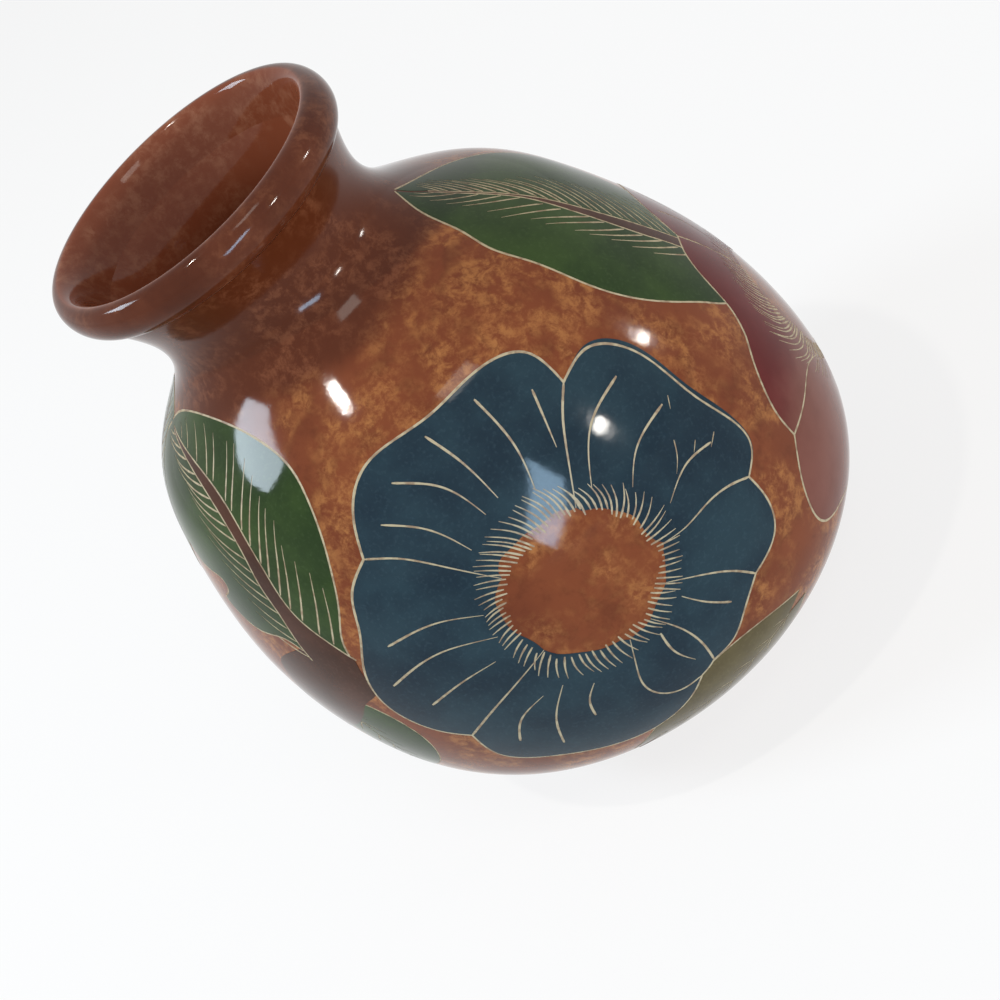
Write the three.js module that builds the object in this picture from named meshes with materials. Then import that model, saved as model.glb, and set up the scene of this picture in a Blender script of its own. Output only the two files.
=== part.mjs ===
// Round-bellied terracotta vase with coloured slip fields, all lengths in millimetres.
// +Z is up, the origin is the centre of the foot on the surface that the vase stands on.
// The clay is one coiled pot: a foot disc, four wall courses, a neck collar and a rolled lip, each
// seated on the one below on a level ring. The petals and leaves are skins of coloured slip on it.
import * as THREE from "three";

// Driving dimensions of the clay. The wall is widest at the belly ring. Each other ring of the
// wall draws in from the ring nearer the belly, and the neck's rings flare out from its waist.
const foot_radius = 42;
const foot_thickness = 7;
const belly_radius = 95;
const flank_draw = 2.5;
const heel_draw = 11.5;
const bow_draw = 3;
const shoulder_draw = 6.5;
const crown_draw = 8;
const brow_draw = 12;
const waist_radius = 38;
const neck_root_flare = 5.5;
const collar_flare = 5.5;

// Rise of each ring above the ring below
const heel_rise = 30;
const flank_rise = 23;
const belly_rise = 27;
const bow_rise = 28;
const shoulder_rise = 22;
const crown_rise = 19.5;
const brow_rise = 17;
const neck_root_rise = 17.5;
const waist_rise = 15.5;
const collar_rise = 15.5;
const lip_reach = 4.5;
const lip_height = 13;
const lip_crest_inset = 4.2;
const wall_thickness = 6;

// How far the lip's two curves swell, as shares of its reach, crest inset and height
const roll_swell = { low: 1.5, high: 1.2, height: 0.2 };
const throat_swell = { crest: 0.6, foot: 0.5, height: 0.5 };

// How the hand-made pot stands: it leans along one azimuth and its rings are oval along it
const lean_azimuth = 157;
const lean_per_height = 0.09;
const ovality = 1.025;

// Driving dimensions of the slip fields
const slip_gap = 0.4;
const slip_thickness = 0.4;
const incised_line = 1.2;
const front_flower_radius = 62;
const long_petal_share = 1.31;
const side_flower_radius = 58;
const back_flower_radius = 55;
const flower_eye_radius = 21;
const petal_ripple = 1.2;
const petal_squareness = 4;
const leaf_length = 78;
const sprig_length = 52;
const rib_root_width = 6;
const rib_tip_width = 2;
const stem_length = 14;

// Where the motifs sit: flowers and sprigs from the belly ring, back leaves below the neck
// collar. The left leaf tucks in beside the front flower's long petal and the right leaf above
// the side flower, by this much less than their sizes laid end to end
const front_flower_lift = 26;
const back_flower_lift = 12;
const left_leaf_drop = 14.5;
const left_leaf_tuck = 9.9;
const right_leaf_tuck = 10.7;
const back_leaf_drop = 10.5;
const back_leaf_gap = 8;
const leaf_width_share = 0.72;
const left_sprig_tuck = 2.1;
const left_sprig_aside = 13.3;
const front_sprig_drop = 44;
const back_right_sprig_drop = 10;
const back_left_sprig_drop = 14;

// Surface roughness
const bare_roughness = 0.8;
const glaze_roughness = 0.2;

// Fineness of the facets
const segments_around = 60;
const tall_course_steps = { outside: 6, inside: 4 };
const short_course_steps = { outside: 4, inside: 3 };
const collar_steps = { outside: 10, inside: 5 };
const lip_steps = 5;
const foot_steps = 2;
const petal_steps_out = 8;
const petal_facet_turn = 8;
const leaf_steps = { along: 16, across: 4 };
const sprig_steps = { along: 8, across: 2 };
const rib_steps = 14;

// The wall's slope is measured over one millimetre, this far either side of a height
const half_millimetre = 0.5;

// Heights of the level rings where one piece of clay sits on the next
const foot_joint = foot_thickness;
const heel_joint = heel_rise;
const belly_joint = heel_joint + flank_rise + belly_rise;
const shoulder_joint = belly_joint + bow_rise + shoulder_rise;
const collar_joint = shoulder_joint + crown_rise + brow_rise;
const lip_joint = collar_joint + neck_root_rise + waist_rise + collar_rise;
const mouth_height = lip_joint + lip_height;

// A smooth curve of radius over height through the named rings, with free ends and
// no break in slope or curvature
function smoothProfile(rings) {
  const count = rings.length;
  const bends = new Array(count).fill(0);
  const carried = new Array(count).fill(0);
  const span = (i) => rings[i + 1].height - rings[i].height;
  const slope = (i) => (rings[i + 1].radius - rings[i].radius) / span(i);
  for (let i = 1; i < count - 1; i++) {
    const pivot = 2 * (span(i - 1) + span(i)) - span(i - 1) * carried[i - 1];
    carried[i] = span(i) / pivot;
    bends[i] = (6 * (slope(i) - slope(i - 1)) - span(i - 1) * bends[i - 1]) / pivot;
  }
  for (let i = count - 2; i > 0; i--) bends[i] -= carried[i] * bends[i + 1];
  return (height) => {
    let i = 0;
    while (i < count - 2 && height > rings[i + 1].height) i++;
    const step = span(i);
    const below = (height - rings[i].height) / step;
    const above = 1 - below;
    const curve = ((above ** 3 - above) * bends[i] + (below ** 3 - below) * bends[i + 1]) / 6;
    return above * rings[i].radius + below * rings[i + 1].radius + curve * step * step;
  };
}

const flank_radius = belly_radius - flank_draw;
const bow_radius = belly_radius - bow_draw;
const shoulder_radius = bow_radius - shoulder_draw;
const crown_radius = shoulder_radius - crown_draw;
const ringSteps = [
  [0, foot_radius],
  [heel_rise, flank_radius - heel_draw],
  [flank_rise, flank_radius],
  [belly_rise, belly_radius],
  [bow_rise, bow_radius],
  [shoulder_rise, shoulder_radius],
  [crown_rise, crown_radius],
  [brow_rise, crown_radius - brow_draw],
  [neck_root_rise, waist_radius + neck_root_flare],
  [waist_rise, waist_radius],
  [collar_rise, waist_radius + collar_flare],
];
let ringHeight = 0;
const rings = ringSteps.map(([rise, radius]) => {
  ringHeight += rise;
  return { height: ringHeight, radius };
});
const outerRadius = smoothProfile(rings);

function outerSlope(height) {
  return outerRadius(height + half_millimetre) - outerRadius(height - half_millimetre);
}

// The inside follows the outside at one wall thickness, measured square to the wall
function innerRadius(height) {
  return outerRadius(height) - wall_thickness * Math.hypot(1, outerSlope(height));
}

// Lean and ovality of the whole pot: turn its lean to +X, slant and stretch it, and turn it back
const leanTurn = new THREE.Matrix4().makeRotationZ(THREE.MathUtils.degToRad(lean_azimuth));
const slant = new THREE.Matrix4().set(
  ovality, 0, lean_per_height, 0,
  0, 1 / ovality, 0, 0,
  0, 0, 1, 0,
  0, 0, 0, 1,
);
const stance = leanTurn.clone().multiply(slant).multiply(leanTurn.clone().invert());

function finish(color, roughness) {
  return new THREE.MeshStandardMaterial({ color, roughness, metalness: 0 });
}

const bareClay = finish(0xa8623c, bare_roughness);
const rustGlaze = finish(0x9c5430, glaze_roughness);
const brownGlaze = finish(0x6b3822, glaze_roughness);
const blueSlip = finish(0x24405a, glaze_roughness);
const greenSlip = finish(0x2f4c2a, glaze_roughness);
const oliveSlip = finish(0x5a5730, glaze_roughness);
const brownSlip = finish(0x56301f, glaze_roughness);
const redSlip = finish(0x7a2a2c, glaze_roughness);

const vase = new THREE.Group();

function addPiece(name, geometry, material) {
  geometry.applyMatrix4(stance);
  const mesh = new THREE.Mesh(geometry, material.clone());
  mesh.name = name;
  vase.add(mesh);
}

// Clay pieces: profiles turned about the pot's own axis
function turned(profile) {
  return new THREE.LatheGeometry(profile, segments_around).rotateX(Math.PI / 2);
}

function heightsBetween(low, high, steps) {
  return Array.from({ length: steps + 1 }, (_, i) => low + ((high - low) * i) / steps);
}

// One course of the wall: up the outside, across its top ring, down the inside, across its foot
function wallCourse(low, high, steps) {
  const outward = (h) => new THREE.Vector2(outerRadius(h), h);
  const inward = (h) => new THREE.Vector2(innerRadius(h), h);
  const outside = heightsBetween(low, high, steps.outside).map(outward);
  const inside = heightsBetween(high, low, steps.inside).map(inward);
  return turned([...outside, ...inside, outside[0]]);
}

function footDisc() {
  const heights = heightsBetween(0, foot_thickness, foot_steps);
  const edge = heights.map((h) => new THREE.Vector2(outerRadius(h), h));
  return turned([new THREE.Vector2(0, 0), ...edge, new THREE.Vector2(0, foot_thickness)]);
}

// The rolled lip: a fat outer roll up to the crest and a slope down into the throat
function lipRoll() {
  const outer = outerRadius(lip_joint);
  const inner = innerRadius(lip_joint);
  const crest = outer + lip_reach - lip_crest_inset;
  const point = (radius, height) => new THREE.Vector2(radius, height);
  const roll = new THREE.CubicBezierCurve(
    point(outer, lip_joint),
    point(outer + lip_reach * roll_swell.low, lip_joint + lip_height * roll_swell.height),
    point(outer + lip_reach * roll_swell.high, mouth_height),
    point(crest, mouth_height),
  );
  const throat = new THREE.CubicBezierCurve(
    point(crest, mouth_height),
    point(crest - lip_crest_inset * throat_swell.crest, mouth_height),
    point(
      inner + lip_crest_inset * throat_swell.foot,
      lip_joint + lip_height * throat_swell.height,
    ),
    point(inner, lip_joint),
  );
  const profile = [...roll.getPoints(lip_steps), ...throat.getPoints(lip_steps).slice(1)];
  return turned([...profile, profile[0]]);
}

addPiece("foot_disc", footDisc(), bareClay);
addPiece("heel_wall", wallCourse(foot_joint, heel_joint, short_course_steps), rustGlaze);
addPiece("lower_wall", wallCourse(heel_joint, belly_joint, tall_course_steps), rustGlaze);
addPiece("upper_wall", wallCourse(belly_joint, shoulder_joint, tall_course_steps), rustGlaze);
addPiece("shoulder_wall", wallCourse(shoulder_joint, collar_joint, short_course_steps), rustGlaze);
addPiece("neck_collar", wallCourse(collar_joint, lip_joint, collar_steps), brownGlaze);
addPiece("rim_lip", lipRoll(), brownGlaze);

// Distance walked up the outside of the wall to each whole step of height
const climb = [0];
while (climb.length <= lip_joint) {
  const height = climb.length;
  climb.push(climb[height - 1] + Math.hypot(1, outerSlope(height - half_millimetre)));
}

function climbAt(height) {
  const step = Math.floor(height);
  return THREE.MathUtils.lerp(climb[step], climb[step + 1], height - step);
}

function heightAt(distance) {
  let step = 0;
  while (step < climb.length - 2 && climb[step + 1] < distance) step++;
  return step + (distance - climb[step]) / (climb[step + 1] - climb[step]);
}

// A place on the wall: across and up in millimetres from a motif's middle, standing off by a
// distance square to the wall
function onWall(middle, across, up, standoff) {
  const height = heightAt(climbAt(middle.height) + up);
  const azimuth = THREE.MathUtils.degToRad(middle.azimuth) + across / outerRadius(height);
  const slope = outerSlope(height);
  const square = standoff / Math.hypot(1, slope);
  const radius = outerRadius(height) + square;
  const level = height - square * slope;
  return [radius * Math.cos(azimuth), radius * Math.sin(azimuth), level];
}

// A closed skin of slip over a grid of places; place(i, j) gives across and up, with i running
// anticlockwise of j when seen from outside the pot
function slipSkin(middle, columns, rows, place) {
  const positions = [];
  const index = [];
  for (const standoff of [slip_gap, slip_gap + slip_thickness]) {
    for (let i = 0; i <= columns; i++) {
      for (let j = 0; j <= rows; j++) {
        const [across, up] = place(i / columns, j / rows);
        positions.push(...onWall(middle, across, up, standoff));
      }
    }
  }
  const layer = (columns + 1) * (rows + 1);
  const at = (i, j) => i * (rows + 1) + j;
  const quad = (a, b, c, d) => index.push(a, b, c, a, c, d);
  for (let i = 0; i < columns; i++) {
    for (let j = 0; j < rows; j++) {
      const corners = [at(i, j), at(i + 1, j), at(i + 1, j + 1), at(i, j + 1)];
      quad(...corners.map((corner) => corner + layer));
      quad(...corners.reverse());
    }
  }
  const wall = (a, b) => quad(a, b, b + layer, a + layer);
  for (let i = 0; i < columns; i++) {
    wall(at(i, 0), at(i + 1, 0));
    wall(at(i + 1, rows), at(i, rows));
  }
  for (let j = 0; j < rows; j++) {
    wall(at(columns, j), at(columns, j + 1));
    wall(at(0, j + 1), at(0, j));
  }
  const geometry = new THREE.BufferGeometry();
  geometry.setAttribute("position", new THREE.Float32BufferAttribute(positions, 3));
  geometry.setIndex(index);
  return geometry;
}

// One petal fills a sector of bearings between the flower's eye and a rippled rim, and keeps
// half an incised line clear of each neighbour. Notch and reach are shares of the flower's radius.
function petal({ middle, radius }, { from, to, notch, reach, lobes }) {
  const { lerp, degToRad } = THREE.MathUtils;
  const petal_steps_around = Math.ceil((to - from) / petal_facet_turn);
  return slipSkin(middle, petal_steps_out, petal_steps_around, (out, turn) => {
    const fill = 1 - Math.abs(2 * turn - 1) ** petal_squareness;
    const dip = lerp(notch[0], notch[1], turn);
    const ripple = petal_ripple * Math.cos(2 * Math.PI * lobes * turn) * fill;
    const rim = (dip + (lerp(reach[0], reach[1], turn) - dip) * fill) * radius + ripple;
    const distance = lerp(flower_eye_radius, rim, out);
    const clear = incised_line / 2 / distance;
    const bearing = lerp(degToRad(from) + clear, degToRad(to) - clear, turn);
    return [distance * Math.cos(bearing), distance * Math.sin(bearing)];
  });
}

function addFlower(name, flower, material, petals) {
  petals.forEach((shape, i) => addPiece(`${name}_petal_${i + 1}`, petal(flower, shape), material));
}

// A leaf lies along a spine through its middle; along and aside are measured on that spine
function onLeaf({ length, bearing }, along, aside) {
  const turn = THREE.MathUtils.degToRad(bearing);
  const forward = along - length / 2;
  return [
    forward * Math.cos(turn) - aside * Math.sin(turn),
    forward * Math.sin(turn) + aside * Math.cos(turn),
  ];
}

function ribHalfWidth(along, length) {
  return THREE.MathUtils.lerp(rib_root_width, rib_tip_width, Math.max(along, 0) / length) / 2;
}

// Half a leaf between its rib and a curved edge, on the left (+1) or the right (-1) of the rib
function leafHalf(leaf, { heel, lowerBelly, upperBelly }, side) {
  const share = ([along, aside]) => new THREE.Vector2(along, aside).multiplyScalar(leaf.length);
  const edge = new THREE.CubicBezierCurve(
    share(heel),
    share(lowerBelly),
    share(upperBelly),
    new THREE.Vector2(leaf.length, rib_tip_width),
  );
  const place = (run, spread) => {
    const along = run * leaf.length;
    const rib = leaf.ribbed ? ribHalfWidth(along, leaf.length) : 0;
    const inner = rib + incised_line / 2;
    const rim = edge.getPoint(run);
    const reachAlong = THREE.MathUtils.lerp(along, rim.x, spread);
    const reachAside = THREE.MathUtils.lerp(inner, inner + rim.y, spread);
    return onLeaf(leaf, reachAlong, side * reachAside);
  };
  const { along, across } = leaf.steps;
  return side > 0
    ? slipSkin(leaf.middle, along, across, place)
    : slipSkin(leaf.middle, across, along, (spread, run) => place(run, spread));
}

// The brown rib runs from the tip to the leaf's heel and on as a stem
function leafRib(leaf) {
  return slipSkin(leaf.middle, rib_steps, 1, (run, side) => {
    const along = THREE.MathUtils.lerp(-leaf.stem, leaf.length, run);
    return onLeaf(leaf, along, (2 * side - 1) * ribHalfWidth(along, leaf.length));
  });
}

function addLeaf(name, leaf, material) {
  addPiece(`${name}_left_half`, leafHalf(leaf, leaf.leftEdge, 1), material);
  addPiece(`${name}_right_half`, leafHalf(leaf, leaf.rightEdge, -1), material);
  if (leaf.ribbed) addPiece(`${name}_rib`, leafRib(leaf), brownSlip);
}

// A height reached by walking a distance up the wall, and the turn that a distance across makes
const heightAbove = (height, distance) => heightAt(climbAt(height) + distance);
const turnAt = (height, across) => THREE.MathUtils.radToDeg(across / outerRadius(height));

const frontFlower = {
  middle: { azimuth: 264, height: belly_joint + front_flower_lift },
  radius: front_flower_radius,
};
const sideFlower = {
  middle: { azimuth: 345, height: belly_joint },
  radius: side_flower_radius,
};
const backFlower = {
  middle: { azimuth: 110, height: belly_joint + back_flower_lift },
  radius: back_flower_radius,
};
addFlower("front_flower", frontFlower, blueSlip, [
  { from: -24, to: 48, notch: [0.9, 0.85], reach: [1, 1.02], lobes: 2 },
  { from: 48, to: 134, notch: [0.85, 0.87], reach: [1.02, 0.98], lobes: 2 },
  { from: 134, to: 208, notch: [0.84, 1.13], reach: [0.85, long_petal_share], lobes: 1 },
  { from: 208, to: 256, notch: [1.13, 0.92], reach: [1.24, 0.97], lobes: 1 },
  { from: 256, to: 281, notch: [0.92, 0.87], reach: [0.94, 0.9], lobes: 1 },
  { from: 281, to: 306, notch: [0.87, 0.84], reach: [0.9, 0.89], lobes: 1 },
  { from: 306, to: 336, notch: [0.84, 0.9], reach: [0.97, 0.98], lobes: 1 },
]);
addFlower("side_flower", sideFlower, redSlip, [
  { from: 103, to: 152, notch: [0.78, 0.76], reach: [0.79, 0.78], lobes: 1 },
  { from: 152, to: 203, notch: [0.76, 1.03], reach: [0.86, 1.28], lobes: 1 },
  { from: 203, to: 270, notch: [1.03, 0.86], reach: [1.14, 0.97], lobes: 1 },
  { from: 270, to: 335, notch: [0.86, 0.9], reach: [0.97, 1], lobes: 1 },
  { from: 335, to: 395, notch: [0.9, 0.86], reach: [1.03, 0.97], lobes: 1 },
  { from: 395, to: 463, notch: [0.86, 0.76], reach: [0.93, 0.79], lobes: 1 },
]);
addFlower("back_flower", backFlower, blueSlip, [
  { from: 20, to: 90, notch: [0.91, 0.87], reach: [1.02, 0.98], lobes: 2 },
  { from: 90, to: 165, notch: [0.87, 0.91], reach: [0.98, 1.02], lobes: 2 },
  { from: 165, to: 235, notch: [0.91, 0.87], reach: [1.02, 0.98], lobes: 1 },
  { from: 235, to: 310, notch: [0.87, 0.91], reach: [0.98, 1.02], lobes: 2 },
  { from: 310, to: 380, notch: [0.91, 0.91], reach: [1.02, 1.02], lobes: 1 },
]);

// Big leaves hang from the neck between the flowers, small sprigs fill the ground below. An edge
// is a curve from the leaf's heel to its tip, as shares of its length along and aside of the spine.
const narrowEdge = { heel: [0.01, 0.05], lowerBelly: [0.23, 0.38], upperBelly: [0.74, 0.51] };
const broadEdge = { heel: [-0.15, 0.19], lowerBelly: [0.08, 0.51], upperBelly: [0.74, 0.51] };
const cappedEdge = { heel: [0.01, 0.18], lowerBelly: [0.05, 0.51], upperBelly: [0.74, 0.51] };
const sprigEdge = { heel: [0, 0.02], lowerBelly: [0.31, 0.25], upperBelly: [0.73, 0.21] };
const bigLeaf = { length: leaf_length, steps: leaf_steps, ribbed: true };
const narrowLeaf = { ...bigLeaf, leftEdge: narrowEdge, rightEdge: narrowEdge, stem: stem_length };
const broadLeaf = { ...bigLeaf, leftEdge: broadEdge, rightEdge: cappedEdge, stem: 0 };
const sprig = { length: sprig_length, steps: sprig_steps, leftEdge: sprigEdge, rightEdge: sprigEdge };
const leftLeafHeight = collar_joint - left_leaf_drop;
const leftLeafAcross = front_flower_radius * long_petal_share - left_leaf_tuck;
const leftLeafTurn = frontFlower.middle.azimuth - turnAt(leftLeafHeight, leftLeafAcross);
const backLeafHeight = collar_joint - back_leaf_drop;
const leafSpacing = leaf_length * leaf_width_share + back_leaf_gap;
const rightLeafRise = side_flower_radius + leaf_length / 2 - right_leaf_tuck;
const bigLeaves = {
  left_leaf: {
    ...narrowLeaf,
    middle: { azimuth: leftLeafTurn, height: leftLeafHeight },
    bearing: 93,
  },
  right_leaf: {
    ...broadLeaf,
    middle: { azimuth: 336, height: heightAbove(sideFlower.middle.height, rightLeafRise) },
    bearing: 90,
  },
  back_right_leaf: {
    ...narrowLeaf,
    middle: { azimuth: 58, height: backLeafHeight },
    bearing: 90,
  },
  back_left_leaf: {
    ...narrowLeaf,
    middle: {
      azimuth: leftLeafTurn - turnAt(backLeafHeight, leafSpacing),
      height: backLeafHeight,
    },
    bearing: 88,
  },
};
for (const [name, leaf] of Object.entries(bigLeaves)) addLeaf(name, leaf, greenSlip);

const leftSprigFall = (leaf_length + sprig_length) / 2 + stem_length - left_sprig_tuck;
const leftSprigHeight = heightAbove(leftLeafHeight, -leftSprigFall);
const greenSprigs = {
  left_sprig: {
    ...sprig,
    middle: {
      azimuth: leftLeafTurn - turnAt(leftSprigHeight, left_sprig_aside),
      height: leftSprigHeight,
    },
    bearing: 260,
  },
  back_left_sprig: {
    ...sprig,
    middle: { azimuth: 166, height: belly_joint - back_left_sprig_drop },
    bearing: 85,
  },
};
for (const [name, leaf] of Object.entries(greenSprigs)) addLeaf(name, leaf, greenSlip);

const oliveSprigs = {
  front_sprig: {
    ...sprig,
    middle: { azimuth: 266, height: belly_joint - front_sprig_drop },
    bearing: 186,
  },
  back_right_sprig: {
    ...sprig,
    middle: { azimuth: 50, height: belly_joint - back_right_sprig_drop },
    bearing: 95,
  },
};
for (const [name, leaf] of Object.entries(oliveSprigs)) addLeaf(name, leaf, oliveSlip);

export default vase;
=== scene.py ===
import math
import random

import bpy
import numpy as np
from mathutils import Matrix, Quaternion, Vector
from mathutils.geometry import delaunay_2d_cdt


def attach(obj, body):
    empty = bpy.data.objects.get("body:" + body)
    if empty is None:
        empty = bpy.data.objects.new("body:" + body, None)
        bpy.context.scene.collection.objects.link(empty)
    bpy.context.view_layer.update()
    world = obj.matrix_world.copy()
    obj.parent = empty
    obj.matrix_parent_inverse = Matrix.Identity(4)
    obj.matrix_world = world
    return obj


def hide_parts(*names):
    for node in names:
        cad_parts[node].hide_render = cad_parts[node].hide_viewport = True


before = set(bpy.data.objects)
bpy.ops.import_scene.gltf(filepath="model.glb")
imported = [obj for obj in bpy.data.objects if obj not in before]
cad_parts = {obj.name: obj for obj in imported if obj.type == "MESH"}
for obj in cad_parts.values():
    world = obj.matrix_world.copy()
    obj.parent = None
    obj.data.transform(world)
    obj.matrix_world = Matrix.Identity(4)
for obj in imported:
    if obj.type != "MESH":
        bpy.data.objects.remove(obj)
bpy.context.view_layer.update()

MM = 0.001

# Sizes of the clay, in millimetres. Each ring of the outside rises above the one before it
FOOT_THICKNESS = 7
WALL_THICKNESS = 6
RING_RISES = [0, 30, 23, 27, 28, 22, 19.5, 17, 17.5, 15.5, 15.5]
RING_RADII = [42, 81, 92.5, 95, 92, 85.5, 77.5, 65.5, 43.5, 38, 43.5]
LIP_REACH = 4.5
LIP_HEIGHT = 13
LIP_CREST_INSET = 4.2
HEEL_JOINT = 30
BELLY_JOINT = 80
SHOULDER_JOINT = 130
COLLAR_JOINT = 166.5
LIP_JOINT = 215
MOUTH_HEIGHT = LIP_JOINT + LIP_HEIGHT
LEAN_AZIMUTH = math.radians(157)
LEAN_PER_HEIGHT = 0.09
OVALITY = 1.025

# Sizes of the slip and of the lines cut through it
SLIP_PROUD = 0.1
SLIP_SUNK = 0.15
GROOVE_FLOOR = 0.045
SURFACE_STEP = 2.2
LINE_WIDTH = 0.68
HAIR_WIDTH = 0.58

# Steps of the wall's mesh, in millimetres, and the length that counts as none
OUTSIDE_ROW_STEP = 1.1
INSIDE_ROW_STEP = 2.0
TINY = 1e-12


def natural_curve(places, values):
    """A smooth curve through the given values, with free ends."""
    x, y = np.array(places, float), np.array(values, float)
    count, span = len(x), np.diff(x)
    system, pull = np.eye(count), np.zeros(count)
    for i in range(1, count - 1):
        system[i, i - 1 : i + 2] = span[i - 1], 2 * (span[i - 1] + span[i]), span[i]
        pull[i] = 6 * ((y[i + 1] - y[i]) / span[i] - (y[i] - y[i - 1]) / span[i - 1])
    bend = np.linalg.solve(system, pull)

    def value(t):
        i = np.clip(np.searchsorted(x, t, side="right") - 1, 0, count - 2)
        upper = (t - x[i]) / span[i]
        lower = 1 - upper
        curve = (lower**3 - lower) * bend[i] + (upper**3 - upper) * bend[i + 1]
        return lower * y[i] + upper * y[i + 1] + curve * span[i] ** 2 / 6

    return value


outer_radius = natural_curve(np.cumsum(RING_RISES), RING_RADII)


def outer_slope(height):
    """Growth of the radius over the millimetre about a height."""
    return outer_radius(height + 0.5) - outer_radius(height - 0.5)


def inner_radius(height):
    """The inside of the wall, at its thickness square to the outside."""
    return outer_radius(height) - WALL_THICKNESS * np.hypot(1, outer_slope(height))


def stance():
    """The matrix that leans the round pot and makes its rings slightly oval."""
    turn = np.array([
        [math.cos(LEAN_AZIMUTH), -math.sin(LEAN_AZIMUTH), 0],
        [math.sin(LEAN_AZIMUTH), math.cos(LEAN_AZIMUTH), 0],
        [0, 0, 1],
    ])
    slant = np.array([[OVALITY, 0, LEAN_PER_HEIGHT], [0, 1 / OVALITY, 0], [0, 0, 1]])
    return turn @ slant @ turn.T


STANCE = stance()


def ramp(low, high, value):
    """A smooth rise from 0 at low to 1 at high."""
    t = np.clip((value - low) / (high - low), 0, 1)
    return t * t * (3 - 2 * t)


# Each swell has its size in millimetres, its waves round, its twist per millimetre up and its phase
SWELLS = [(0.13, 3, 0.031, 0), (0.09, 5, -0.052, 2)]
RING_SIZE = 0.007
RINGS_PER_HEIGHT = 0.55
RING_WANDER = 0.8
WAVES_BEGIN = (3, 20)
WAVES_END = (196, 214)


def hand_waves(azimuth, height):
    """The slight unevenness that a hand leaves in the wall, gone at the foot and the lip."""
    swell = 0
    for size, waves, twist, phase in SWELLS:
        swell = swell + size * np.sin(waves * azimuth + twist * height + phase)
    rings = RING_SIZE * np.sin(RINGS_PER_HEIGHT * height + RING_WANDER * np.sin(azimuth))
    return (swell + rings) * ramp(*WAVES_BEGIN, height) * (1 - ramp(*WAVES_END, height))


def on_wall(azimuth, height, standoff=0.0):
    """A place at a distance square to the outside of the wall, in row-frame millimetres."""
    slope = outer_slope(height)
    square = (standoff + hand_waves(azimuth, height)) / np.hypot(1, slope)
    radius = outer_radius(height) + square
    level = height - square * slope
    flat = np.stack([radius * np.cos(azimuth), radius * np.sin(azimuth), level], -1)
    return flat @ STANCE.T


SMALL_TURN = 1e-3
SMALL_RISE = 0.05


def wall_normal(azimuth, height):
    """The direction square to the outside of the wall."""
    across = on_wall(azimuth + SMALL_TURN, height) - on_wall(azimuth - SMALL_TURN, height)
    up = on_wall(azimuth, height + SMALL_RISE) - on_wall(azimuth, height - SMALL_RISE)
    normal = np.cross(across, up)
    return normal / np.linalg.norm(normal, axis=-1, keepdims=True)


CLIMB_SAMPLES = 2000
CLIMB_HEIGHTS = np.linspace(0, LIP_JOINT, CLIMB_SAMPLES)
CLIMBS = np.concatenate([
    [0],
    np.cumsum(np.hypot(np.diff(CLIMB_HEIGHTS), np.diff(outer_radius(CLIMB_HEIGHTS)))),
])


def spread_on_wall(middle, places):
    """Azimuth and height of places given across and up from a motif's middle."""
    azimuth, height = math.radians(middle[0]), middle[1]
    heights = np.interp(np.interp(height, CLIMB_HEIGHTS, CLIMBS) + places[:, 1], CLIMBS, CLIMB_HEIGHTS)
    return azimuth + places[:, 0] / outer_radius(heights), heights


# Materials

GLAZE_IOR = 1.25
CLAY_IOR = 1.5
THROAT_BLEND = 0.012

# Sockets of the Mix node that carry colours: the share, the first colour and the second
COLOR_MIX_INPUTS = (0, 6, 7)
COLOR_MIX_RESULT = 2


def linear(red, green, blue):
    """A colour of 0 to 255 as shown on a screen, in the linear values that the shaders take."""

    def one(c):
        c /= 255
        return c / 12.92 if c <= 0.04045 else ((c + 0.055) / 1.055) ** 2.4

    return (one(red), one(green), one(blue), 1)


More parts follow.
